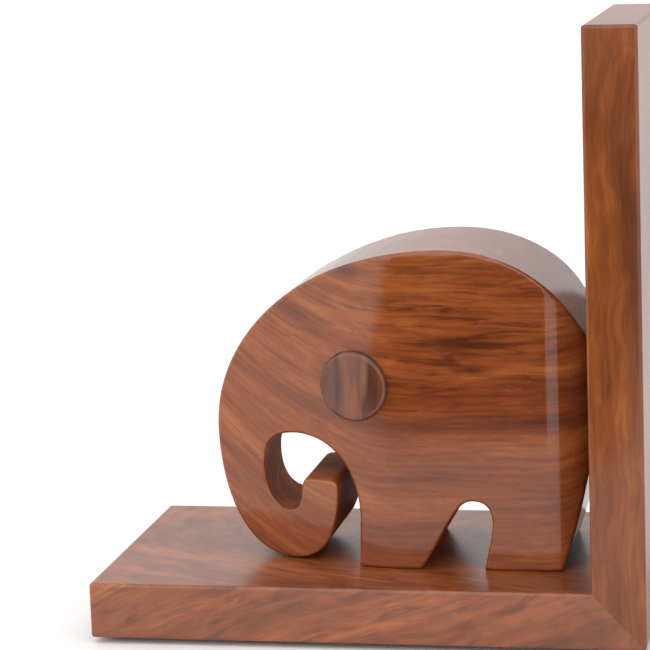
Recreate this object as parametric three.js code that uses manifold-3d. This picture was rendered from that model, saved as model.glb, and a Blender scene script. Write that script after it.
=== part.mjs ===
// A wooden bookend: an elephant sawn from a thick block stands on a base board, with its rump against an
// upright board. Millimetres, +X along the base towards the books, +Y to the back, +Z up.
import * as THREE from "three";
import { mergeVertices } from "three/addons/utils/BufferGeometryUtils.js";
import Module from "manifold-3d";

const wasm = await Module();
wasm.setup();

// The two boards.
const BASE_LENGTH = 188;
const BOARD_DEPTH = 106;
const BASE_THICKNESS = 19;
const UPRIGHT_HEIGHT = 204;
const UPRIGHT_THICKNESS = 18;

// The elephant: the size of its side view, and of its view from above.
const ELEPHANT_LENGTH = 134;
const ELEPHANT_HEIGHT = 109.5;
const ELEPHANT_THICKNESS = 56;
const FACE_TAPER = THREE.MathUtils.degToRad(18.5);
const TAPER_START = 59.5;
const TAPER_BEND_RADIUS = 60;
const RUMP_CORNER_RADIUS = 17;
const TRUNK_CLEARANCE = 0.4;

// The round ears, let into the sides of the head.
const EAR_RADIUS = 12;
const EAR_INSET = 3;
const EAR_PROUD = 2.5;
const EAR_FROM_NOSE = 52.3;
const EAR_HEIGHT = 63;

// The dowels across the mitred corner.
const DOWEL_RADIUS = 3;
const DOWEL_LENGTH = 22;
const DOWEL_CHAMFER = 0.6;
const DOWEL_FROM_INNER_CORNER = 10;
const DOWEL_SPACING = 33;
const DOWEL_COUNT = 3;

// The countersunk screws that hold the legs to the base, driven from below.
const SCREW_LENGTH = 36;
const SCREW_SHANK_RADIUS = 2;
const SCREW_HEAD_RADIUS = 4;
const SCREW_HEAD_RIM = 0.5;
const SCREW_POINT = 5;
const SCREW_RECESS = 1;
const SCREW_SPACING = 32;
const DRIVE_WIDTH = 0.9;
const DRIVE_SPAN = 4.6;
const DRIVE_DEPTH = 1.8;

// The felt pads under the base.
const PAD_RADIUS = 9;
const PAD_THICKNESS = 2;
const PAD_INSET = 8;

// Clearances: a glue line between wooden pieces, and the room around a dowel or a screw.
const GLUE_GAP = 0.3;
const HOLE_CLEARANCE = 0.3;
const HOLE_END_ROOM = 1;

// Far enough for a cutter to run past the piece it cuts.
const PAST = 10;
const ROUND_STEPS = 32;
const CURVE_STEPS = 10;

// The side view of the elephant was drawn at this size. Sizes in the drawing are measured back from
// the brow and up from the soles, and are stretched to ELEPHANT_LENGTH and ELEPHANT_HEIGHT.
const DRAWN_LENGTH = 134.2;
const DRAWN_HEIGHT = 109.5;
const FRONT_SOLE = { toe: 52.5, heel: 74.4 };
const HIND_SOLE = { toe: 96.2, heel: 122.5 };
const SIDE_VIEW = {
  start: [0, 45],
  strokes: [
    { name: "brow", curve: [[0, 78], [36, 109.5], [82.5, 109.5]] },
    { name: "back", curve: [[113.5, 109.5], [134.2, 89], [134.2, 60]] },
    { name: "rump", curve: [[134.2, 48], [131, 24], [HIND_SOLE.heel, 0]] },
    { name: "hind sole", line: [HIND_SOLE.toe, 0] },
    { name: "front of the hind leg", curve: [[96.2, 5], [104.5, 23.8], [92.2, 23.8]] },
    { name: "back of the front leg", curve: [[85.9, 23.8], [83.9, 13.5], [FRONT_SOLE.heel, 0]] },
    { name: "front sole", line: [FRONT_SOLE.toe, 0] },
    { name: "shin", line: [53.2, 17] },
    { name: "chest", curve: [[53.2, 34], [43, 44.6], [30.5, 44.6]] },
    { name: "mouth", curve: [[22, 44.6], [17.6, 41], [17.6, 33]] },
    { name: "inside of the curl", curve: [[17.6, 21.2], [23, 17.7], [27, 17.7]] },
    { name: "underside of the tip", curve: [[33.6, 17.7], [29, 29.3], [35, 29.3]] },
    { name: "tip", line: [41.5, 29.3] },
    { name: "corner of the tip", curve: [[43.7, 29.3], [45.1, 28.4], [45.1, 26]] },
    { name: "front of the curl", curve: [[45.1, 4.7], [35.4, 0], [27, 0]] },
    { name: "trunk", curve: [[9.2, 0], [0, 21.5], [0, 45]] },
  ],
};

const MATERIALS = {
  board: new THREE.MeshStandardMaterial({ color: 0x93583a, roughness: 0.28, metalness: 0 }),
  elephant: new THREE.MeshStandardMaterial({ color: 0x8f4f30, roughness: 0.26, metalness: 0 }),
  ear: new THREE.MeshStandardMaterial({ color: 0x7d4d38, roughness: 0.3, metalness: 0 }),
  dowel: new THREE.MeshStandardMaterial({ color: 0xc9a878, roughness: 0.7, metalness: 0 }),
  screw: new THREE.MeshStandardMaterial({ color: 0xc3b283, roughness: 0.35, metalness: 1 }),
  felt: new THREE.MeshStandardMaterial({ color: 0x2c2320, roughness: 1, metalness: 0 }),
};

// A closed three.js geometry as a solid that can be joined and cut.
function solidOf(geometry) {
  const bare = geometry.clone();
  bare.deleteAttribute("normal");
  bare.deleteAttribute("uv");
  const merged = mergeVertices(bare, 1e-4);
  return new wasm.Manifold(
    new wasm.Mesh({
      numProp: 3,
      vertProperties: Float32Array.from(merged.attributes.position.array),
      triVerts: Uint32Array.from(merged.index.array),
    }),
  );
}

function geometryOf(solid) {
  const mesh = solid.getMesh();
  const geometry = new THREE.BufferGeometry();
  geometry.setAttribute("position", new THREE.BufferAttribute(mesh.vertProperties, 3));
  geometry.setIndex(new THREE.BufferAttribute(mesh.triVerts, 1));
  geometry.computeVertexNormals();
  return geometry;
}

// An outline in X and Z, as a slab that is centred on Y = 0.
function slabAcross(shape, thickness) {
  const geometry = new THREE.ExtrudeGeometry(shape, {
    depth: thickness,
    bevelEnabled: false,
    curveSegments: CURVE_STEPS,
  });
  geometry.rotateX(Math.PI / 2);
  geometry.translate(0, thickness / 2, 0);
  return solidOf(geometry);
}

// An outline in X and Y, as a column from bottom to top.
function columnUp(shape, bottom, top) {
  const geometry = new THREE.ExtrudeGeometry(shape, {
    depth: top - bottom,
    bevelEnabled: false,
    curveSegments: ROUND_STEPS,
  });
  geometry.translate(0, 0, bottom);
  return solidOf(geometry);
}

// A profile of [radius, height] points from the bottom to the top, turned about the Z axis.
function turned(profile) {
  const points = profile.map(([radius, height]) => new THREE.Vector2(radius, height));
  const geometry = new THREE.LatheGeometry(points, ROUND_STEPS);
  geometry.rotateX(Math.PI / 2);
  return solidOf(geometry);
}

function polygon(corners) {
  return new THREE.Shape(corners.map(([x, y]) => new THREE.Vector2(x, y)));
}

function meshOf(name, solid, material) {
  const mesh = new THREE.Mesh(geometryOf(solid), material.clone());
  mesh.name = name;
  return mesh;
}

// Places that several pieces share, measured from the free end of the base, on its underside.
const UPRIGHT_FACE = BASE_LENGTH - UPRIGHT_THICKNESS;
const NOSE = UPRIGHT_FACE - GLUE_GAP - ELEPHANT_LENGTH;
const STRETCH_X = ELEPHANT_LENGTH / DRAWN_LENGTH;
const STRETCH_Z = ELEPHANT_HEIGHT / DRAWN_HEIGHT;

// The mitre runs from the inner corner, above, to the outer corner, below.
const MITRE_RUN = new THREE.Vector2(UPRIGHT_THICKNESS, -BASE_THICKNESS).normalize();
const MITRE_NORMAL = new THREE.Vector2(-MITRE_RUN.y, MITRE_RUN.x);

function spread(count, spacing) {
  return Array.from({ length: count }, (_, i) => (i - (count - 1) / 2) * spacing);
}

function dowelPlaces() {
  const x = UPRIGHT_FACE + MITRE_RUN.x * DOWEL_FROM_INNER_CORNER;
  const z = BASE_THICKNESS + MITRE_RUN.y * DOWEL_FROM_INNER_CORNER;
  return spread(DOWEL_COUNT, DOWEL_SPACING).map((y) => new THREE.Vector3(x, y, z));
}

// One pair of screws goes into each leg, on the middle of its sole.
function screwPlaces() {
  return [FRONT_SOLE, HIND_SOLE].flatMap(({ toe, heel }) => {
    const x = NOSE + ((toe + heel) / 2) * STRETCH_X;
    return spread(2, SCREW_SPACING).map((y) => new THREE.Vector3(x, y, SCREW_RECESS));
  });
}

function dowel(radius, halfLength, chamfer) {
  const tilt = Math.atan2(MITRE_NORMAL.x, MITRE_NORMAL.y);
  return turned([
    [0, -halfLength],
    [radius - chamfer, -halfLength],
    [radius, -halfLength + chamfer],
    [radius, halfLength - chamfer],
    [radius - chamfer, halfLength],
    [0, halfLength],
  ]).rotate([0, THREE.MathUtils.radToDeg(tilt), 0]);
}

function dowelHoles() {
  const hole = dowel(DOWEL_RADIUS + HOLE_CLEARANCE, DOWEL_LENGTH / 2 + HOLE_END_ROOM, DOWEL_CHAMFER);
  return dowelPlaces().map((place) => hole.translate(place.toArray()));
}

// The outline of a screw, or with a clearance the outline of its hole.
function screwProfile(clearance) {
  const head = SCREW_HEAD_RADIUS + clearance;
  const shank = SCREW_SHANK_RADIUS + clearance;
  const neck = SCREW_HEAD_RIM + SCREW_HEAD_RADIUS - SCREW_SHANK_RADIUS;
  const tip = SCREW_LENGTH + (clearance ? HOLE_END_ROOM : 0);
  return [
    [head, SCREW_HEAD_RIM],
    [shank, neck],
    [shank, tip - SCREW_POINT],
    [0, tip],
  ];
}

function screw() {
  const body = turned([[0, 0], [SCREW_HEAD_RADIUS, 0], ...screwProfile(0)]);
  const bar = new THREE.BoxGeometry(DRIVE_SPAN, DRIVE_WIDTH, 2 * DRIVE_DEPTH);
  const cross = solidOf(bar).add(solidOf(bar.clone().rotateZ(Math.PI / 2)));
  return body.subtract(cross);
}

function screwHoles() {
  const mouth = SCREW_HEAD_RADIUS + HOLE_CLEARANCE;
  const hole = turned([[0, -PAST], [mouth, -PAST], ...screwProfile(HOLE_CLEARANCE)]);
  return screwPlaces().map((place) => hole.translate(place.toArray()));
}

function cutAll(solid, cutters) {
  return cutters.reduce((left, cutter) => left.subtract(cutter), solid);
}

function baseBoard() {
  const outline = polygon([
    [0, 0],
    [BASE_LENGTH - GLUE_GAP, 0],
    [UPRIGHT_FACE - GLUE_GAP, BASE_THICKNESS],
    [0, BASE_THICKNESS],
  ]);
  return cutAll(slabAcross(outline, BOARD_DEPTH), [...dowelHoles(), ...screwHoles()]);
}

function uprightBoard() {
  const outline = polygon([
    [BASE_LENGTH, 0],
    [BASE_LENGTH, UPRIGHT_HEIGHT],
    [UPRIGHT_FACE, UPRIGHT_HEIGHT],
    [UPRIGHT_FACE, BASE_THICKNESS],
  ]);
  return cutAll(slabAcross(outline, BOARD_DEPTH), dowelHoles());
}

function sideView() {
  const at = ([x, z]) => [NOSE + x * STRETCH_X, BASE_THICKNESS + z * STRETCH_Z];
  const shape = new THREE.Shape();
  shape.moveTo(...at(SIDE_VIEW.start));
  for (const { curve, line } of SIDE_VIEW.strokes) {
    if (curve) shape.bezierCurveTo(...curve.flatMap(at));
    else shape.lineTo(...at(line));
  }
  return shape;
}

// The elephant from above, or with an offset the same outline grown or shrunk all round: parallel sides,
// a rump with two round corners, and a face that bends in and narrows towards the trunk.
function viewFromAbove(offset) {
  const half = ELEPHANT_THICKNESS / 2;
  const bend = TAPER_BEND_RADIUS + offset;
  const bendX = NOSE + TAPER_START + TAPER_BEND_RADIUS * Math.tan(FACE_TAPER / 2);
  const bendY = half - TAPER_BEND_RADIUS;
  const corner = RUMP_CORNER_RADIUS + offset;
  const cornerX = NOSE + ELEPHANT_LENGTH - RUMP_CORNER_RADIUS;
  const cornerY = half - RUMP_CORNER_RADIUS;
  const taperX = bendX - bend * Math.sin(FACE_TAPER);
  const taperY = bendY + bend * Math.cos(FACE_TAPER);
  const noseY = taperY - (taperX - NOSE) * Math.tan(FACE_TAPER);
  const quarter = Math.PI / 2;
  const shape = new THREE.Shape();
  shape.moveTo(NOSE - PAST, -noseY);
  shape.lineTo(NOSE, -noseY);
  shape.lineTo(taperX, -taperY);
  shape.absarc(bendX, -bendY, bend, -quarter - FACE_TAPER, -quarter, false);
  shape.lineTo(cornerX, -half - offset);
  shape.absarc(cornerX, -cornerY, corner, -quarter, 0, false);
  shape.absarc(cornerX, cornerY, corner, 0, quarter, false);
  shape.lineTo(bendX, half + offset);
  shape.absarc(bendX, bendY, bend, quarter, quarter + FACE_TAPER, false);
  shape.lineTo(NOSE, noseY);
  shape.lineTo(NOSE - PAST, noseY);
  return shape;
}

function elephantFromAbove(offset) {
  return columnUp(viewFromAbove(offset), -PAST, BASE_THICKNESS + ELEPHANT_HEIGHT + PAST);
}

// A cylinder across the head, on the front (side = -1) or the back (side = 1) half of the elephant.
function earBore(radius, side) {
  const length = ELEPHANT_THICKNESS;
  const geometry = new THREE.CylinderGeometry(radius, radius, length, 2 * ROUND_STEPS);
  geometry.translate(NOSE + EAR_FROM_NOSE, (side * length) / 2, BASE_THICKNESS + EAR_HEIGHT);
  return solidOf(geometry);
}

function elephantBody() {
  const slab = slabAcross(sideView(), ELEPHANT_THICKNESS + PAST);
  const recess = elephantFromAbove(-EAR_INSET);
  const earHoles = [-1, 1].map((side) => earBore(EAR_RADIUS + GLUE_GAP, side).subtract(recess));
  return cutAll(slab.intersect(elephantFromAbove(0)), [...earHoles, ...screwHoles(), trunkRelief()]);
}

// The trunk stops just short of the base, so that only the legs bear on it.
function trunkRelief() {
  const length = FRONT_SOLE.toe * STRETCH_X;
  const geometry = new THREE.BoxGeometry(length, 2 * ELEPHANT_THICKNESS, 2 * TRUNK_CLEARANCE);
  geometry.translate(NOSE + length / 2 - GLUE_GAP, 0, BASE_THICKNESS);
  return solidOf(geometry);
}

function earDisc(side) {
  const outside = elephantFromAbove(EAR_PROUD);
  const floor = elephantFromAbove(GLUE_GAP - EAR_INSET);
  return earBore(EAR_RADIUS, side).intersect(outside).subtract(floor);
}

function pad() {
  return turned([[0, -PAD_THICKNESS], [PAD_RADIUS, -PAD_THICKNESS], [PAD_RADIUS, 0], [0, 0]]);
}

function padPlaces() {
  const fromEdge = PAD_INSET + PAD_RADIUS;
  const y = BOARD_DEPTH / 2 - fromEdge;
  return [fromEdge, BASE_LENGTH - fromEdge].flatMap((x) => [
    new THREE.Vector3(x, -y, 0),
    new THREE.Vector3(x, y, 0),
  ]);
}

// Numbered copies of one piece, each with its own name and place.
function copies(name, solid, material, places) {
  return places.map((place, i) => {
    const mesh = meshOf(`${name}_${i + 1}`, solid, material);
    mesh.position.copy(place);
    return mesh;
  });
}

const cornerDowel = dowel(DOWEL_RADIUS, DOWEL_LENGTH / 2, DOWEL_CHAMFER);
const boards = new THREE.Group();
boards.add(
  meshOf("base_board", baseBoard(), MATERIALS.board),
  meshOf("upright_board", uprightBoard(), MATERIALS.board),
  ...copies("corner_dowel", cornerDowel, MATERIALS.dowel, dowelPlaces()),
  ...copies("foot_pad", pad(), MATERIALS.felt, padPlaces()),
);

const elephant = new THREE.Group();
elephant.add(
  meshOf("elephant_body", elephantBody(), MATERIALS.elephant),
  meshOf("ear_disc_front", earDisc(-1), MATERIALS.ear),
  meshOf("ear_disc_back", earDisc(1), MATERIALS.ear),
  ...copies("leg_screw", screw(), MATERIALS.screw, screwPlaces()),
);

// The origin is under the middle of the whole bookend, where the pads rest.
const bookend = new THREE.Group();
bookend.add(boards, elephant);
bookend.position.set(-BASE_LENGTH / 2, 0, PAD_THICKNESS);

export default bookend;
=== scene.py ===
# %% [markdown]
# # A wooden elephant bookend
#
# A bookend has two boards that meet in a mitred corner, and an elephant that is sawn from a thick
# block. The elephant stands on the base board with its rump against the upright board, and each side
# of its head has a round ear of another piece of the same wood. Everything that shows is stained
# hardwood under a coat of gloss lacquer.
#
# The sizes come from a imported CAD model, which is loaded first. Its nodes say where each piece is.
# The pieces that need soft edges are modelled again here, and take the place of their CAD nodes.

import math

import bmesh
import bpy
from mathutils import Matrix, Vector


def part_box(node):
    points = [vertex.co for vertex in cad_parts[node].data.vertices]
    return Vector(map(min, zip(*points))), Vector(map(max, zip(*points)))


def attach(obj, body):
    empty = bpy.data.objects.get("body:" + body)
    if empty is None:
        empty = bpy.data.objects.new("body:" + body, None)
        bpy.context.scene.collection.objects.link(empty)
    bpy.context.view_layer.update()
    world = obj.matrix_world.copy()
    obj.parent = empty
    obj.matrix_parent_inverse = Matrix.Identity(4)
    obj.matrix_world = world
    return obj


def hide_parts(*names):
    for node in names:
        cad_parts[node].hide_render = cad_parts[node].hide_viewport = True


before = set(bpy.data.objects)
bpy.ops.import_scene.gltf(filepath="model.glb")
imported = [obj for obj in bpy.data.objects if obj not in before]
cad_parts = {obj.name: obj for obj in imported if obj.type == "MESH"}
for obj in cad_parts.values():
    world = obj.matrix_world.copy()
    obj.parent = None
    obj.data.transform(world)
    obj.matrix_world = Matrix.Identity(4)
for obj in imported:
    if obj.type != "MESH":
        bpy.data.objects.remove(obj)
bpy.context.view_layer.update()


def mm(size):
    return size * 0.001


BASE_LOW, BASE_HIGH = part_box("base_board")
UPRIGHT_LOW, UPRIGHT_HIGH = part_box("upright_board")
BODY_LOW, BODY_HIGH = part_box("elephant_body")
BASE_TOP = BASE_HIGH[2]
print("nodes:", len(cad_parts), "base top at", round(BASE_TOP, 4))

# %% [markdown]
# ## The camera
#
# It comes first, so that every piece can be looked at as it is made. It stands in front and a little
# to the right, at the height of a seated person's eye over a table, and looks slightly down. A long
# lens keeps the boards nearly parallel. The camera is rolled a little, which makes the upright lean to
# the left at the top, and its small shift keeps the whole bookend in the frame without turning away.

# %% Camera
CAMERA_PLACE = (0.1623, -0.8594, 0.2608)
CAMERA_AZIMUTH = math.radians(10.5)
CAMERA_ELEVATION = math.radians(9.27)
CAMERA_ROLL = math.radians(-1.78)
LENS_MM = 142.3

bpy.ops.object.camera_add()
camera = bpy.context.object
camera.name = "camera"
camera.data.lens = LENS_MM
camera.data.shift_x = -0.1
camera.data.shift_y = -0.079
camera.data.clip_end = 100
turn = Matrix.Rotation(CAMERA_AZIMUTH, 4, "Z") @ Matrix.Rotation(math.pi / 2 - CAMERA_ELEVATION, 4, "X")
camera.matrix_world = Matrix.Translation(CAMERA_PLACE) @ turn @ Matrix.Rotation(CAMERA_ROLL, 4, "Z")
bpy.context.scene.camera = camera
print("camera at", CAMERA_PLACE)

# %% [markdown]
# ## Working by selection
#
# Blender's operators act on what is selected, so each step first selects exactly what it is about.
# `only` selects whole objects, and `choose` selects the edges or faces that pass a test.


# %% Helpers for selecting
def only(*pieces):
    bpy.ops.object.select_all(action="DESELECT")
    for piece in pieces:
        piece.select_set(True)
    bpy.context.view_layer.objects.active = pieces[0]


def edit(piece):
    only(piece)
    bpy.ops.object.mode_set(mode="EDIT")
    bpy.ops.mesh.select_all(action="SELECT")


def leave_edit():
    bpy.ops.object.mode_set(mode="OBJECT")


def choose(piece, kind, test):
    bpy.ops.mesh.select_mode(type=kind)
    bpy.ops.mesh.select_all(action="DESELECT")
    mesh = bmesh.from_edit_mesh(piece.data)
    parts = mesh.faces if kind == "FACE" else mesh.edges
    for part in parts:
        if test(part):
            part.select_set(True)
    bmesh.update_edit_mesh(piece.data)


def middle(edge):
    return (edge.verts[0].co + edge.verts[1].co) / 2


# %% [markdown]
# ## Shared steps
#
# Three things happen to nearly every piece. A boolean cuts one piece with another. A weighted normal
# keeps the wide flat faces flat in the gloss, although the rounded edges beside them are smooth. And
# `settle` ties the finished piece to the frame and hides the CAD node that it stands for.


# %% Cutting, shading and settling
def apply_all(piece):
    only(piece)
    bpy.ops.object.transform_apply(location=True, rotation=True, scale=True)


def copy_of(piece, name):
    only(piece)
    bpy.ops.object.duplicate()
    copy = bpy.context.object
    copy.name = name
    return copy


def cut(piece, *cutters):
    for cutter in cutters:
        only(piece)
        bpy.ops.object.modifier_add(type="BOOLEAN")
        modifier = piece.modifiers[-1]
        modifier.operation = "DIFFERENCE"
        modifier.solver = "EXACT"
        modifier.object = cutter
        bpy.ops.object.modifier_apply(modifier=modifier.name)


def shade(piece, sharp_degrees=40):
    only(piece)
    bpy.ops.object.shade_smooth_by_angle(angle=math.radians(sharp_degrees))
    bpy.ops.object.modifier_add(type="WEIGHTED_NORMAL")
    modifier = piece.modifiers[-1]
    modifier.keep_sharp = True
    modifier.weight = 90
    bpy.ops.object.modifier_apply(modifier=modifier.name)


def settle(piece, node):
    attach(piece, "root")
    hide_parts(node)
    print(piece.name, "has", len(piece.data.polygons), "faces")


def remove(*pieces):
    only(*pieces)
    bpy.ops.object.delete()


# %% [markdown]
# ## The boards
#
# The maker glues the mitred corner first and rounds the edges over afterwards, so the rounding runs
# round the corner without a step. The same order works here: an L-shaped blank is drawn up out of
# one box, its edges are bevelled, and only then is it sawn apart along the mitre. A hairline of
# 0.05 mm is left where the glue is. The inner corner stays sharp, because no sander reaches it.

# %% The rounded blank
BOARD_ROUNDING = mm(1.2)
GLUE_HAIRLINE = mm(0.05)
ROUNDING_STEPS = 4
TOUCHING = mm(0.1)
INNER_X = UPRIGHT_LOW[0]
OUTER_X = UPRIGHT_HIGH[0]


def add_box(name, low, high):
    size = [b - a for a, b in zip(low, high)]
    centre = [(a + b) / 2 for a, b in zip(low, high)]
    bpy.ops.mesh.primitive_cube_add(size=1, location=centre, scale=size)
    box = bpy.context.object
    box.name = name
    apply_all(box)
    return box


def is_inner_corner(edge):
    place = middle(edge)
    return abs(place.x - INNER_X) < TOUCHING and abs(place.z - BASE_TOP) < TOUCHING


def is_rounded(edge):
    return edge.calc_face_angle(0) > math.radians(60) and not is_inner_corner(edge)


blank = add_box("blank", BASE_LOW, (OUTER_X, BASE_HIGH[1], BASE_TOP))
edit(blank)
bpy.ops.mesh.bisect(plane_co=(INNER_X, 0, 0), plane_no=(1, 0, 0))
choose(blank, "FACE", lambda face: face.normal.z > 0.9 and face.calc_center_median().x > INNER_X)
bpy.ops.mesh.extrude_region_move(TRANSFORM_OT_translate={"value": (0, 0, UPRIGHT_HIGH[2] - BASE_TOP)})
choose(blank, "EDGE", is_rounded)
bpy.ops.mesh.bevel(offset=BOARD_ROUNDING, segments=ROUNDING_STEPS, profile=0.5, affect="EDGES")
leave_edit()
print("blank has", len(blank.data.polygons), "faces")

# %% Sawing the blank apart along the mitre
mitre_run = Vector((OUTER_X - INNER_X, 0, UPRIGHT_LOW[2] - BASE_TOP)).normalized()
mitre_normal = Vector((-mitre_run.z, 0, mitre_run.x))


def saw(piece, inset, clear_upper):
    edit(piece)
    inner_corner = Vector((INNER_X, 0, BASE_TOP))
    bpy.ops.mesh.bisect(
        plane_co=inner_corner + mitre_normal * inset,
        plane_no=mitre_normal,
        use_fill=True,
        clear_outer=clear_upper,
        clear_inner=not clear_upper,
    )
    leave_edit()


base = copy_of(blank, "base_board_rounded")
saw(base, -GLUE_HAIRLINE, clear_upper=True)
upright = copy_of(blank, "upright_board_rounded")
saw(upright, 0, clear_upper=False)
remove(blank)
print("sawn along", [round(v, 3) for v in mitre_run])

# %% [markdown]
# ## Holes for the dowels and screws
#
# Three dowels cross the mitre, and two screws come up through the base into each pair of legs. The
# CAD dowels and screws have the right shape and stay, so the boards only need holes to take them. A
# dowel's hole is a plain cylinder. A screw's hole is a cylinder with a cone at its mouth, so that
# the head sits below the surface.

# %% Cutters for the dowels
HOLE_CLEARANCE = mm(0.3)
HOLE_END_ROOM = mm(1)
DOWEL_RADIUS = mm(3)
DOWEL_LENGTH = mm(22)
SHANK_RADIUS = mm(2)
HEAD_RADIUS = mm(4)
HEAD_RIM = mm(0.5)
CUTTER_PAST = mm(5)


def centre_of(node):
    low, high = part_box(node)
    return (Vector(low) + Vector(high)) / 2


def nodes_named(start):
    return sorted(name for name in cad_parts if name.startswith(start))


def dowel_cutter(node):
    bpy.ops.mesh.primitive_cylinder_add(
        vertices=48,
        radius=DOWEL_RADIUS + HOLE_CLEARANCE,
        depth=DOWEL_LENGTH + 2 * HOLE_END_ROOM,
        location=centre_of(node),
        rotation=(0, math.atan2(mitre_normal.x, mitre_normal.z), 0),
    )
    apply_all(bpy.context.object)
    return bpy.context.object


dowel_cutters = [dowel_cutter(node) for node in nodes_named("corner_dowel")]
print(len(dowel_cutters), "dowel holes")


# %% Cutters for the screws
def screw_cutter(node):
    low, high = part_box(node)
    place = centre_of(node)
    mouth = low[2] - CUTTER_PAST
    shoulder = low[2] + HEAD_RIM
    top = high[2] + HOLE_END_ROOM
    bpy.ops.mesh.primitive_cylinder_add(
        vertices=48,
        radius=HEAD_RADIUS + HOLE_CLEARANCE,
        depth=shoulder - mouth,
        location=(place.x, place.y, (mouth + shoulder) / 2),
    )
    cutter = bpy.context.object
    apply_all(cutter)
    narrow = (SHANK_RADIUS + HOLE_CLEARANCE) / (HEAD_RADIUS + HOLE_CLEARANCE)
    edit(cutter)
    choose(cutter, "FACE", lambda face: face.normal.z > 0.9)
    bpy.ops.mesh.extrude_region_move(
        TRANSFORM_OT_translate={"value": (0, 0, HEAD_RADIUS - SHANK_RADIUS)}
    )
    bpy.ops.transform.resize(value=(narrow, narrow, 1), center_override=(place.x, place.y, place.z))
    rise = top - shoulder - (HEAD_RADIUS - SHANK_RADIUS)
    bpy.ops.mesh.extrude_region_move(TRANSFORM_OT_translate={"value": (0, 0, rise)})
    leave_edit()
    return cutter


screw_cutters = [screw_cutter(node) for node in nodes_named("leg_screw")]
print(len(screw_cutters), "screw holes")

# %% Finishing the boards
cut(base, *dowel_cutters, *screw_cutters)
cut(upright, *dowel_cutters)
shade(base)
shade(upright)
settle(base, "base_board")
settle(upright, "upright_board")

# %% [markdown]
# ## The elephant
#
# A bandsaw makes this shape in two passes. The first follows the side view, with the block lying on
# its side. The second follows the view from above: parallel flanks, a rump with two round corners,
# and cheeks that bend in and narrow towards the trunk. Then a sander takes the edges off.
#
# A boolean of two outlines would leave edges that are hard to bevel where the rump's two curves run
# into each other. So the side view is drawn as a curve with a thickness and a rounded edge, which
# gives clean edges all round, and then each flank is moved in as far as the view from above says.

# %% The side view, in millimetres back from the brow and up from the soles
TRUNK_CLEARANCE = 0.4
DRAWN_LENGTH = 134.2
START = (0, 45)
STROKES = [
    # brow, back and rump
    [(0, 78), (36, 109.5), (82.5, 109.5)],
    [(113.5, 109.5), (134.2, 89), (134.2, 60)],
    [(134.2, 48), (131, 24), (122.5, 0)],
    # hind sole, arch between the legs, front sole and shin
    [(96.2, 0)],
    [(96.2, 5), (104.5, 23.8), (92.2, 23.8)],
    [(85.9, 23.8), (83.9, 13.5), (74.4, 0)],
    [(52.5, 0)],
    [(53.2, 17)],
    # chest, mouth and the inside of the trunk's curl
    [(53.2, 34), (43, 44.6), (30.5, 44.6)],
    [(22, 44.6), (17.6, 41), (17.6, 33)],
    [(17.6, 21.2), (23, 17.7), (27, 17.7)],
    # the tip of the trunk, the outside of its curl, and back up to the brow
    [(33.6, 17.7), (29, 29.3), (35, 29.3)],
    [(41.5, 29.3)],
    [(43.7, 29.3), (45.1, 28.4), (45.1, 26)],
    [(45.1, 4.7), (35.4, TRUNK_CLEARANCE), (27, TRUNK_CLEARANCE)],
    [(9.2, TRUNK_CLEARANCE), (0, 21.5), (0, 45)],
]
print("the side view has", len(STROKES), "strokes")

# %% The sawn block
EDGE_ROUNDING = mm(1.1)
CURVE_STEPS = 24
LENGTH = BODY_HIGH[0] - BODY_LOW[0]
HALF_THICKNESS = (BODY_HIGH[1] - BODY_LOW[1]) / 2
STRETCH = LENGTH / mm(DRAWN_LENGTH)


def drawn(point):
    x = BODY_LOW[0] + mm(point[0]) * STRETCH
    z = BODY_LOW[2] + mm(point[1])
    return Vector((x, z, 0))


def side_view_curve():
    bpy.ops.object.add(type="CURVE")
    outline = bpy.context.object
    outline.name = "elephant_body_rounded"
    spline = outline.data.splines.new("BEZIER")
    spline.bezier_points.add(len(STROKES) - 1)
    spline.use_cyclic_u = True
    knots = [START] + [stroke[-1] for stroke in STROKES[:-1]]
    for point, knot in zip(spline.bezier_points, knots):
        point.handle_left_type = point.handle_right_type = "FREE"
        point.co = point.handle_left = point.handle_right = drawn(knot)
    for i, stroke in enumerate(STROKES):
        if len(stroke) == 3:
            following = (i + 1) % len(STROKES)
            spline.bezier_points[i].handle_right = drawn(stroke[0])
            spline.bezier_points[following].handle_left = drawn(stroke[1])
    return outline


body = side_view_curve()
body.data.dimensions = "2D"
body.data.fill_mode = "BOTH"
body.data.resolution_u = CURVE_STEPS
body.data.extrude = HALF_THICKNESS - EDGE_ROUNDING
body.data.bevel_depth = EDGE_ROUNDING
body.data.bevel_resolution = ROUNDING_STEPS - 2
body.data.offset = -EDGE_ROUNDING
body.rotation_euler = (math.pi / 2, 0, 0)
only(body)
bpy.ops.object.convert(target="MESH")
apply_all(body)
edit(body)
bpy.ops.mesh.remove_doubles(threshold=mm(0.001))
bpy.ops.mesh.normals_make_consistent(inside=False)
leave_edit()
print("sawn block has", len(body.data.polygons), "faces")

# %% The view from above
FACE_TAPER = math.radians(18.5)
TAPER_START = mm(59.5)
BEND_RADIUS = mm(60)
BEND_X = BODY_LOW[0] + TAPER_START + BEND_RADIUS * math.tan(FACE_TAPER / 2)
BEND_Y = HALF_THICKNESS - BEND_RADIUS
TAPER_X = BEND_X - BEND_RADIUS * math.sin(FACE_TAPER)
RUMP_CORNER_RADIUS = mm(17)
RUMP_X = BODY_HIGH[0] - RUMP_CORNER_RADIUS
RUMP_Y = HALF_THICKNESS - RUMP_CORNER_RADIUS
RUMP_CUTS = 24
BEND_CUTS = 10


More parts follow.
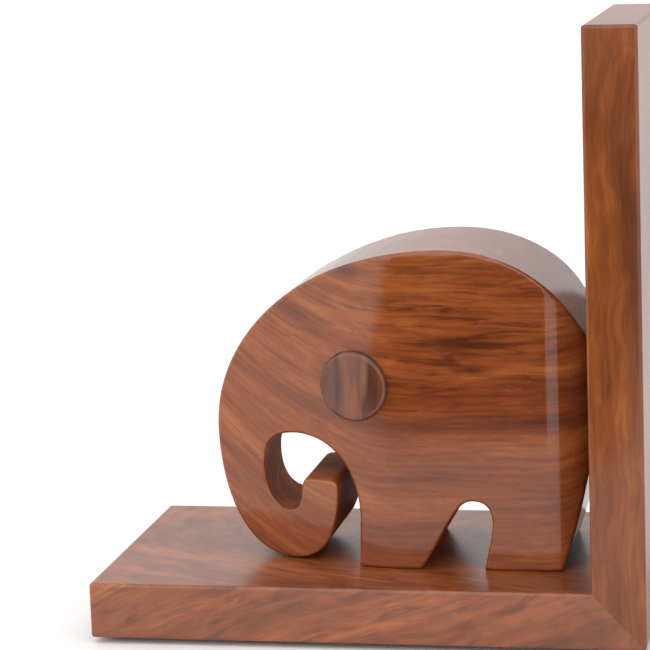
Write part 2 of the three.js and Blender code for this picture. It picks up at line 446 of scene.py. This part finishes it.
def half_width(x):
    """How far the flank is from the middle of the elephant, x metres along the bookend."""
    if x < TAPER_X:
        return BEND_Y + BEND_RADIUS * math.cos(FACE_TAPER) - (TAPER_X - x) * math.tan(FACE_TAPER)
    if x < BEND_X:
        return BEND_Y + math.sqrt(BEND_RADIUS**2 - (x - BEND_X) ** 2)
    if x > RUMP_X:
        return RUMP_Y + math.sqrt(max(RUMP_CORNER_RADIUS**2 - (x - RUMP_X) ** 2, 0))
    return HALF_THICKNESS


def cut_places():
    bend = [BEND_X - BEND_RADIUS * math.sin(FACE_TAPER * i / BEND_CUTS) for i in range(BEND_CUTS + 1)]
    quarter = math.pi / 2
    rump = [RUMP_X + RUMP_CORNER_RADIUS * math.sin(quarter * i / RUMP_CUTS) for i in range(RUMP_CUTS)]
    return bend + rump


def follow_flanks(piece):
    """Divides a piece where the flanks curve, and moves its sides in to where the flanks are."""
    edit(piece)
    for x in cut_places():
        bpy.ops.mesh.select_all(action="SELECT")
        bpy.ops.mesh.bisect(plane_co=(x, 0, 0), plane_no=(1, 0, 0))
    leave_edit()
    for vertex in piece.data.vertices:
        inward = HALF_THICKNESS - half_width(vertex.co.x)
        vertex.co.y = math.copysign(max(abs(vertex.co.y) - inward, 0), vertex.co.y)


follow_flanks(body)
print("half width at the nose:", round(half_width(BODY_LOW[0]) * 1000, 2), "mm")

# %% [markdown]
# ## The ears
#
# Each ear is a short round plug of the same wood, turned so that its grain stands upright. It is let
# into the cheek and stands proud of it, with its rim sanded round. It starts as a cylinder across the
# head. The rim is bevelled while the end is still square, and then the plug follows the cheek, as the
# flanks did. A slightly larger plug cuts the recess, which leaves a hairline shadow round the ear.

# %% Ears and their recesses
EAR_RADIUS = mm(12)
EAR_INSET = mm(2.7)
EAR_PROUD = mm(2.5)
EAR_ROUNDING = mm(1.4)
EAR_SHADOW_LINE = mm(0.06)
EAR_STEPS = 96
RECESS_PAST = mm(6)


def ear_plug(name, side, radius, inset, proud):
    place = centre_of("ear_disc_front")
    bpy.ops.mesh.primitive_cylinder_add(
        vertices=EAR_STEPS,
        radius=radius,
        depth=inset + proud,
        location=(place.x, side * (HALF_THICKNESS + (proud - inset) / 2), place.z),
        rotation=(math.pi / 2, 0, 0),
    )
    plug = bpy.context.object
    plug.name = name
    apply_all(plug)
    return plug


def ear(name, side):
    plug = ear_plug(name, side, EAR_RADIUS, EAR_INSET, EAR_PROUD)
    edit(plug)
    choose(plug, "FACE", lambda face: face.normal.y * side > 0.9)
    bpy.ops.mesh.region_to_loop()
    bpy.ops.mesh.bevel(offset=EAR_ROUNDING, segments=ROUNDING_STEPS, profile=0.5, affect="EDGES")
    leave_edit()
    follow_flanks(plug)
    shade(plug)
    return plug


ears = {"ear_disc_front": ear("ear_front_rounded", -1), "ear_disc_back": ear("ear_back_rounded", 1)}
for side in (-1, 1):
    radius, depth = EAR_RADIUS + EAR_SHADOW_LINE, EAR_INSET + EAR_SHADOW_LINE
    recess = ear_plug("recess", side, radius, depth, RECESS_PAST)
    follow_flanks(recess)
    cut(body, recess)
    remove(recess)
cut(body, *screw_cutters)
remove(*dowel_cutters, *screw_cutters)
shade(body)
settle(body, "elephant_body")
for node, piece in ears.items():
    settle(piece, node)

# %% [markdown]
# ## The felt pads
#
# The pads are punched from pressed felt. The punch rounds the upper edge a little and leaves the rim
# slightly uneven, so each disc gets its own small random pull, from a fixed seed.

# %% Pads
PAD_ROUNDING = mm(0.5)
PAD_UNEVENNESS = mm(0.06)
PAD_FACE_INSET = mm(2)


def felt_pad(node, seed):
    low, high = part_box(node)
    place = centre_of(node)
    bpy.ops.mesh.primitive_cylinder_add(
        vertices=96,
        radius=(high[0] - low[0]) / 2 - PAD_UNEVENNESS,
        depth=high[2] - low[2],
        end_fill_type="NGON",
        location=place,
    )
    pad = bpy.context.object
    pad.name = node + "_felt"
    apply_all(pad)
    edit(pad)
    choose(pad, "FACE", lambda face: abs(face.normal.z) > 0.9)
    bpy.ops.mesh.inset(thickness=PAD_FACE_INSET)
    choose(pad, "EDGE", lambda edge: edge.calc_face_angle(0) > math.radians(60))
    bpy.ops.mesh.bevel(offset=PAD_ROUNDING, segments=3, profile=0.5, affect="EDGES")
    choose(pad, "FACE", lambda face: abs(face.normal.z) < 0.3)
    bpy.ops.transform.vertex_random(offset=PAD_UNEVENNESS, seed=seed)
    leave_edit()
    shade(pad)
    return pad


pads = []
for number, node in enumerate(nodes_named("foot_pad")):
    pads.append(felt_pad(node, seed=number + 1))
    settle(pads[-1], node)

# %% [markdown]
# ## Materials
#
# One small function adds a node, sets it up and links it. Colours are written as the hex values that
# a paint program shows, and one function turns them to the linear values that Blender works in.
# Scales are worked out from real sizes: a noise whose features are 9 mm wide has a scale of 1 / 9 mm.


# %% Helpers for materials
def linear(hex_colour):
    channels = [int(hex_colour[i : i + 2], 16) / 255 for i in (1, 3, 5)]
    bright = [c / 12.92 if c <= 0.04045 else ((c + 0.055) / 1.055) ** 2.4 for c in channels]
    return (*bright, 1)


def per(size_mm):
    return 1 / mm(size_mm)


def add(tree, kind, inputs=None, **settings):
    node = tree.nodes.new(kind)
    for name, value in settings.items():
        setattr(node, name, value)
    for name, value in (inputs or {}).items():
        if isinstance(value, bpy.types.NodeSocket):
            tree.links.new(value, node.inputs[name])
        else:
            node.inputs[name].default_value = value
    return node


def new_material(name):
    material = bpy.data.materials.new(name)
    material.use_nodes = True
    tree = material.node_tree
    shader = tree.nodes["Principled BSDF"]
    place = add(tree, "ShaderNodeTexCoord").outputs["Object"]
    return material, tree, shader, place


def ramp(tree, factor, stops):
    node = add(tree, "ShaderNodeValToRGB", {"Fac": factor})
    elements = node.color_ramp.elements
    while len(elements) < len(stops):
        elements.new(0.5)
    for element, (position, colour) in zip(elements, stops):
        element.position = position
        element.color = colour
    return node.outputs["Color"]


def grey(value):
    return (value, value, value, 1)


def dress(material, *pieces):
    for piece in pieces:
        piece.data.materials.clear()
        piece.data.materials.append(material)
    print(material.name, "on", len(pieces), "pieces")


# %% [markdown]
# ### Lacquered hardwood
#
# The wood is a rosewood-like hardwood, brown with orange light in it and darker lines of heartwood.
# Its lines are growth rings: in the tree they lie round the heart, so the pattern here is built from
# the distance to a heart line that runs along the grain outside the piece. Faces that cut the rings
# along, across and end-on then agree with each other at every edge, as in a solid board.
#
# From large to small the layers are: broad bands a centimetre wide, blotchy figure where the fibres
# curl, dark flames, fine growth lines, fibres under half a millimetre wide, and short dark pores. The
# lines also waver a little, as they do in a real board. On the elephant they sweep as well: level
# through the body and falling towards the face. Its flames are strongest in the upper body.
#
# Over the wood lies a gloss lacquer. It is a clear coat, blurred a little because it was sprayed and
# not polished. The base board is handled most, and its coat is the most blurred.

# %% Noise, streaks and blending
def noise(tree, place, stretch, size_mm, detail, roughness=0.5, distortion=0.0):
    """Noise with features size_mm wide, stretched along each axis as many times as stretch says."""
    shrink = [1 / factor for factor in stretch]
    narrowed = add(tree, "ShaderNodeVectorMath", {0: place, 1: shrink}, operation="MULTIPLY")
    inputs = {
        "Vector": narrowed.outputs[0],
        "Scale": per(size_mm),
        "Detail": detail,
        "Roughness": roughness,
        "Distortion": distortion,
    }
    return add(tree, "ShaderNodeTexNoise", inputs)


def streak(tree, place, centre_mm, size_mm):
    """A soft-ended streak, 1 in its middle and 0 at its ends, that runs right through the piece."""
    inputs = {
        "Vector": place,
        "Location": [mm(c) for c in centre_mm],
        "Scale": [mm(s) for s in size_mm],
    }
    ellipse = add(tree, "ShaderNodeMapping", inputs, vector_type="TEXTURE")
    ball = add(tree, "ShaderNodeTexGradient", {"Vector": ellipse.outputs[0]}, gradient_type="SPHERICAL")
    return ball.outputs["Fac"]


def blend_in(tree, below, colour, amount, strength, mode="MIX"):
    """Lays a colour over another, as strongly as amount times strength."""
    factor = add(tree, "ShaderNodeMath", {0: amount, 1: strength}, operation="MULTIPLY", use_clamp=True)
    mix = add(tree, "ShaderNodeMix", {"Factor": factor.outputs[0]}, data_type="RGBA", blend_type=mode)
    tree.links.new(below, mix.inputs["A"])
    if isinstance(colour, bpy.types.NodeSocket):
        tree.links.new(colour, mix.inputs["B"])
    else:
        mix.inputs["B"].default_value = colour
    return mix.outputs["Result"]


# %% [markdown]
# A pattern is only as good as the coordinates it is drawn in. These three functions bend them: round
# the heart of the tree, down towards the elephant's face, and a little to and fro.


# %% Coordinates that follow the grain
def swept(tree, place, start_x, reach):
    """Bends the grain: level where x > start_x, and falling ever steeper towards the face before it."""
    parts = add(tree, "ShaderNodeSeparateXYZ", {"Vector": place}).outputs
    before = add(tree, "ShaderNodeMath", {0: start_x, 1: parts["X"]}, operation="SUBTRACT")
    ahead = add(tree, "ShaderNodeMath", {0: before.outputs[0], 1: 0.0}, operation="MAXIMUM")
    square = add(tree, "ShaderNodeMath", {0: ahead.outputs[0], 1: 2.0}, operation="POWER")
    fall = add(tree, "ShaderNodeMath", {0: square.outputs[0], 1: reach}, operation="DIVIDE")
    level = add(tree, "ShaderNodeMath", {0: parts["Z"], 1: fall.outputs[0]}, operation="SUBTRACT")
    inputs = {"X": parts["X"], "Y": parts["Y"], "Z": level.outputs[0]}
    return add(tree, "ShaderNodeCombineXYZ", inputs).outputs["Vector"]


def growth_rings(tree, place, grain_turn, heart_mm):
    """Coordinates that follow the growth rings: along the grain, out from the heart, and around it."""
    turned = add(tree, "ShaderNodeMapping", {"Vector": place, "Rotation": grain_turn}).outputs[0]
    heart = (0, mm(heart_mm[0]), mm(heart_mm[1]))
    from_heart = add(tree, "ShaderNodeVectorMath", {0: turned, 1: heart}, operation="SUBTRACT").outputs[0]
    across = add(tree, "ShaderNodeVectorMath", {0: from_heart, 1: (0, 1, 1)}, operation="MULTIPLY")
    radius = add(tree, "ShaderNodeVectorMath", {0: across.outputs[0]}, operation="LENGTH")
    parts = add(tree, "ShaderNodeSeparateXYZ", {"Vector": from_heart}).outputs
    inputs = {"X": parts["X"], "Y": radius.outputs["Value"], "Z": parts["Y"]}
    return add(tree, "ShaderNodeCombineXYZ", inputs).outputs["Vector"]


def wavering(tree, place, size_mm, reach_mm):
    """Lets straight lines wander: places move by up to about half of reach_mm, over size_mm."""
    drift = noise(tree, place, (2.5, 1, 1), size_mm, 2).outputs["Color"]
    middle_grey = {0: drift, 1: (0.5, 0.5, 0.5)}
    pull = add(tree, "ShaderNodeVectorMath", middle_grey, operation="SUBTRACT").outputs[0]
    step = add(tree, "ShaderNodeVectorMath", {0: pull, "Scale": mm(reach_mm)}, operation="SCALE")
    return add(tree, "ShaderNodeVectorMath", {0: place, 1: step.outputs[0]}, operation="ADD").outputs[0]


# %% [markdown]
# The colour is laid on from wide to narrow. Each size below is the width of one layer's features
# across the grain, in millimetres. The fibres and pores of the real wood are finer than these, and
# are drawn just wide enough to show.

# %% The colour of the wood
WAVER_OVER_MM, WAVER_REACH_MM = 34, 9
BANDS_MM, CURL_MM, LINES_MM, FLAMES_MM, FIBRES_MM, PORES_MM = 10, 4.5, 1.3, 2.8, 0.4, 0.8
PORE_LENGTHENING = 10


def wood_colour(tree, place, growth, tones, figure, flames, streaks):
    """The colour of the wood, and where its pores are."""
    dark, deep, body_tone, light = [linear(tone) for tone in tones]
    grain_turn, heart_mm = growth
    flame_strength, flame_patch = flames
    wavy = wavering(tree, place, WAVER_OVER_MM, WAVER_REACH_MM)
    rings = growth_rings(tree, wavy, grain_turn, heart_mm)
    straight = add(tree, "ShaderNodeMapping", {"Vector": place, "Rotation": grain_turn}).outputs[0]

    broad = noise(tree, rings, (10, 1, 6), BANDS_MM, 3, 0.55).outputs["Fac"]
    curl = noise(tree, rings, (4, 1, 3), CURL_MM, 4, 0.6, 1.0).outputs["Fac"]
    mixed = add(tree, "ShaderNodeMix", {"Factor": figure}, data_type="FLOAT")
    tree.links.new(broad, mixed.inputs["A"])
    tree.links.new(curl, mixed.inputs["B"])
    stops = [(0.32, deep), (0.52, body_tone), (0.72, light)]
    colour = ramp(tree, mixed.outputs["Result"], stops)

    lines = noise(tree, rings, (30, 1, 14), LINES_MM, 3, 0.6).outputs["Fac"]
    colour = blend_in(tree, colour, dark, ramp(tree, lines, [(0.45, grey(0)), (0.7, grey(1))]), 0.4)
    licks = noise(tree, rings, (9, 1, 5), FLAMES_MM, 3, 0.6, 0.6).outputs["Fac"]
    flame = ramp(tree, licks, [(0.52, grey(0)), (0.64, grey(1))])
    if flame_patch:
        inputs = {0: flame, 1: streak(tree, wavy, *flame_patch)}
        flame = add(tree, "ShaderNodeMath", inputs, operation="MULTIPLY").outputs[0]
    colour = blend_in(tree, colour, dark, flame, flame_strength)
    for centre, size, streak_colour, strength in streaks:
        amount = streak(tree, wavy, centre, size)
        colour = blend_in(tree, colour, linear(streak_colour), amount, strength)
    fibre = noise(tree, straight, (40, 1, 1), FIBRES_MM, 2).outputs["Fac"]
    fibres = ramp(tree, fibre, [(0.35, grey(0.86)), (0.65, grey(1.08))])
    colour = blend_in(tree, colour, fibres, fibre, 1.2, mode="MULTIPLY")

    lengthened = {0: straight, 1: (1 / PORE_LENGTHENING, 1, 1)}
    narrowed = add(tree, "ShaderNodeVectorMath", lengthened, operation="MULTIPLY")
    inputs = {"Vector": narrowed.outputs[0], "Scale": per(PORES_MM), "Randomness": 1.0}
    pore_cells = add(tree, "ShaderNodeTexVoronoi", inputs).outputs["Distance"]
    pores = ramp(tree, pore_cells, [(0.1, grey(1)), (0.2, grey(0))])
    return blend_in(tree, colour, dark, pores, 0.35), pores


# %% [markdown]
# Real lacquer has an index near 1.5. It is raised to 1.75 here, and the coat is made thinner to match,
# because the real finish shows more reflection head-on, and less at a low angle, than a plain coat of
# index 1.5 does. The spray leaves slow waves 9 mm wide in it, and it sinks a little into the pores.

# %% The lacquer over it
LACQUER_INDEX = 1.75
SPRAY_WAVES_MM = 9
RELIEF = mm(0.02)


def lacquered_wood(
    name,
    grain_turn,
    heart_mm,
    tones,
    sweep=None,
    figure=0.4,
    flames=0.5,
    flame_patch=None,
    streaks=(),
    coat=0.75,
    coat_roughness=0.12,
):
    """grain_turn turns the piece so that its grain lies along X. heart_mm is where the heart of the
    tree was, across the turned grain. flame_patch is (centre, size) of the place with the most flames,
    and streaks are (centre, size, colour, strength), in millimetres."""
    material, tree, shader, place = new_material(name)
    grain = swept(tree, place, *sweep) if sweep else place
    growth = (grain_turn, heart_mm)
    colour, pores = wood_colour(tree, grain, growth, tones, figure, (flames, flame_patch), streaks)
    tree.links.new(colour, shader.inputs["Base Color"])

    sprayed = noise(tree, place, (1, 1, 1), SPRAY_WAVES_MM, 1).outputs["Fac"]
    waves = add(tree, "ShaderNodeBump", {"Height": sprayed, "Distance": RELIEF, "Strength": 0.6})
    inputs = {"Height": pores, "Distance": RELIEF, "Strength": 0.5, "Normal": waves.outputs[0]}
    sunk = add(tree, "ShaderNodeBump", inputs, invert=True)
    tree.links.new(sunk.outputs[0], shader.inputs["Normal"])
    tree.links.new(sunk.outputs[0], shader.inputs["Coat Normal"])
    shader.inputs["Roughness"].default_value = 0.5
    shader.inputs["Specular IOR Level"].default_value = 0.0
    shader.inputs["Coat Weight"].default_value = coat
    shader.inputs["Coat Roughness"].default_value = coat_roughness
    shader.inputs["Coat IOR"].default_value = LACQUER_INDEX
    return material


# %% The woods of the boards
ALONG_X = (0, 0, 0)
ALONG_Z = (0, math.pi / 2, 0)
SLANTED = (0, math.radians(18), 0)
BASE_TONES = ("#4a2211", "#703a1c", "#985028", "#bd7036")
UPRIGHT_TONES = ("#4a2310", "#6c3515", "#86461e", "#a5602a")
BODY_TONES = ("#421d0f", "#723516", "#8d4720", "#aa642d")
EAR_TONES = ("#371a10", "#50281a", "#6b3923", "#865030")

base_wood = lacquered_wood(
    "lacquered_rosewood_base",
    SLANTED,
    (30, -60),
    BASE_TONES,
    flames=0.5,
    streaks=[
        ((-22, -47, 21), (13, 5, 30), "#6a2b14", 0.7),
        ((42, -48, 21), (9, 4, 30), "#6a2b14", 0.7),
    ],
    coat=0.85,
    coat_roughness=0.28,
)
upright_wood = lacquered_wood(
    "lacquered_rosewood_upright",
    ALONG_Z,
    (-90, -150),
    UPRIGHT_TONES,
    flames=0.2,
    streaks=[((91, 0, 140), (7, 200, 65), "#3f1d0e", 0.9)],
    coat=0.6,
    coat_roughness=0.14,
)
# %% [markdown]
# The elephant is cut from the wood with the liveliest figure, and its ears from a darker offcut with
# the grain upright. A few strong lines are listed one by one: the dark band under the ear, and the
# stripes across it.

# %% The woods of the elephant
body_pattern = {
    "grain_turn": ALONG_X,
    "heart_mm": (60, -120),
    "tones": BODY_TONES,
    "sweep": (mm(7), mm(180)),
    "flames": 0.8,
    "flame_patch": ((35, 0, 100), (110, 200, 44)),
    "streaks": [
        ((30, 0, 71.5), (120, 200, 4.5), "#3f1d12", 0.65),
        ((30, 0, 99), (18, 200, 3), "#43200f", 1.0),
        ((35, 0, 91), (10, 200, 2.5), "#43200f", 1.0),
        ((-10, 0, 122), (10, 200, 5), "#43231a", 0.9),
    ],
}
body_wood = lacquered_wood("lacquered_rosewood_elephant", **body_pattern)
hollow_wood = lacquered_wood(
    "sealed_rosewood_saw_cut", **body_pattern, coat=0.12, coat_roughness=0.35
)
ear_wood = lacquered_wood(
    "lacquered_rosewood_ear",
    ALONG_Z,
    (-40, -60),
    EAR_TONES,
    flames=0.3,
    streaks=[
        ((-12, 0, 84), (2.5, 200, 16), "#331a12", 0.9),
        ((-6, 0, 78), (4, 200, 12), "#87492a", 0.9),
        ((0, 0, 84), (4, 200, 18), "#42251a", 0.9),
        ((-2.5, 0, 88), (1.8, 200, 10), "#8c6446", 0.8),
    ],
)

# %% [markdown]
# The walls of the trunk's curl and of the arch are out of reach of the sander and of most of the
# spray. They keep the look of a sealed saw cut: the same grain, dull instead of glossy.

# %% Dressing the wood
HOLLOWS_MM = [((15, 8), (54.5, 46)), ((74, -1), (98.5, 25))]


def in_hollow(face):
    if abs(face.normal.y) > 0.75:
        return False
    for low, high in HOLLOWS_MM:
        low, high = drawn(low), drawn(high)
        if low.x < face.center.x < high.x and low.y < face.center.z < high.y:
            return True
    return False


dress(base_wood, base)
dress(upright_wood, upright)
dress(body_wood, body)
dress(ear_wood, *ears.values())
body.data.materials.append(hollow_wood)
for face in body.data.polygons:
    if in_hollow(face):
        face.material_index = 1

# %% [markdown]
# ### Felt, beech and plated steel
#
# Pressed wool felt has no weave, only matted fibres, so it is fully rough with a fine two-scale fuzz
# and a little sheen. The dowels are bare beech with its short flecks. The screws are steel with a
# yellow zinc plate, a metal whose tint varies in faint blotches.


# %% Felt, beech and plated steel
def pressed_felt():
    material, tree, shader, place = new_material("pressed_wool_felt")
    matted = noise(tree, place, (1, 1, 1), 0.5, 4, 0.7).outputs["Fac"]
    colour = ramp(tree, matted, [(0.3, linear("#1d1715")), (0.7, linear("#4a3d38"))])
    tree.links.new(colour, shader.inputs["Base Color"])
    fuzz = add(tree, "ShaderNodeBump", {"Height": matted, "Distance": mm(0.3), "Strength": 0.8})
    tree.links.new(fuzz.outputs[0], shader.inputs["Normal"])
    shader.inputs["Roughness"].default_value = 1.0
    shader.inputs["Sheen Weight"].default_value = 0.4
    return material


def bare_beech():
    material, tree, shader, place = new_material("bare_beech")
    flecks = noise(tree, place, (1, 1, 9), 0.6, 2).outputs["Fac"]
    colour = ramp(tree, flecks, [(0.3, linear("#a9824f")), (0.7, linear("#d3b284"))])
    tree.links.new(colour, shader.inputs["Base Color"])
    shader.inputs["Roughness"].default_value = 0.7
    return material


def zinc_plated_steel():
    material, tree, shader, place = new_material("yellow_zinc_plated_steel")
    tint = noise(tree, place, (1, 1, 1), 3, 2).outputs["Fac"]
    colour = ramp(tree, tint, [(0.3, linear("#b39c63")), (0.7, linear("#d6c795"))])
    tree.links.new(colour, shader.inputs["Base Color"])
    shader.inputs["Metallic"].default_value = 1.0
    shader.inputs["Roughness"].default_value = 0.32
    return material


dress(pressed_felt(), *pads)
dress(bare_beech(), *[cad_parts[name] for name in nodes_named("corner_dowel")])
dress(zinc_plated_steel(), *[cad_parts[name] for name in nodes_named("leg_screw")])

# %% [markdown]
# ## The table and the light
#
# Lacquer shows what stands round it, so the light is set up for its reflections. The table is white
# and the room behind it is a white screen, which gives the pale sheen on the base, the back and the
# tops. The only light is the glow of the room, which is brighter in front, to the left and above, as
# beside a large soft lamp, and so the flanks are lit as well as the tops.
#
# In front lies a black card that only reflections can see. The flanks mirror it, and keep their full
# colour above the height where the table's own reflection stops. The cheek turns away from the card
# and stays veiled by the white table, and so does a narrow band where the rump begins to turn.

# %% Table and card
TABLE_SIZE = 40
CARD_LOW = Vector((-0.26, -8))
CARD_HIGH = Vector((0.06, -0.31))


def plain(name, hex_colour, roughness):
    material, tree, shader, place = new_material(name)
    shader.inputs["Base Color"].default_value = linear(hex_colour)
    shader.inputs["Roughness"].default_value = roughness
    shader.inputs["Specular IOR Level"].default_value = 0.0
    return material


bpy.ops.mesh.primitive_plane_add(size=TABLE_SIZE)
table = bpy.context.object
table.name = "table"
dress(plain("matt_white_table", "#f6f6f6", 1.0), table)
bpy.ops.mesh.primitive_plane_add(size=1, location=(*((CARD_LOW + CARD_HIGH) / 2), mm(0.5)))
card = bpy.context.object
card.name = "black_card"
card.scale = (*(CARD_HIGH - CARD_LOW), 1)
dress(plain("black_card_paper", "#0c0a09", 1.0), card)
card.visible_camera = False
card.visible_diffuse = False
card.visible_shadow = False

print("table and card are", TABLE_SIZE, "m and", round(CARD_HIGH.x - CARD_LOW.x, 2), "m wide")

# %% The glow of the room
BACK_STRENGTH = 1.02
FRONT_STRENGTH = 1.6
TOWARDS_LAMP = Vector((-0.35, -0.8, 0.48))

world = bpy.data.worlds.new("white_room")
bpy.context.scene.world = world
world.use_nodes = True
room = world.node_tree
direction = add(room, "ShaderNodeTexCoord").outputs["Generated"]
facing = add(room, "ShaderNodeVectorMath", {0: direction, 1: TOWARDS_LAMP}, operation="DOT_PRODUCT")
inputs = {
    "Value": facing.outputs["Value"],
    "From Min": 0.1,
    "To Min": BACK_STRENGTH,
    "To Max": FRONT_STRENGTH,
}
glow = add(room, "ShaderNodeMapRange", inputs, interpolation_type="SMOOTHSTEP")
background = room.nodes["Background"]
background.inputs["Color"].default_value = linear("#ffffff")
room.links.new(glow.outputs["Result"], background.inputs["Strength"])
bpy.context.scene.view_settings.view_transform = "Standard"
print("glow from", BACK_STRENGTH, "behind to", FRONT_STRENGTH, "in front")
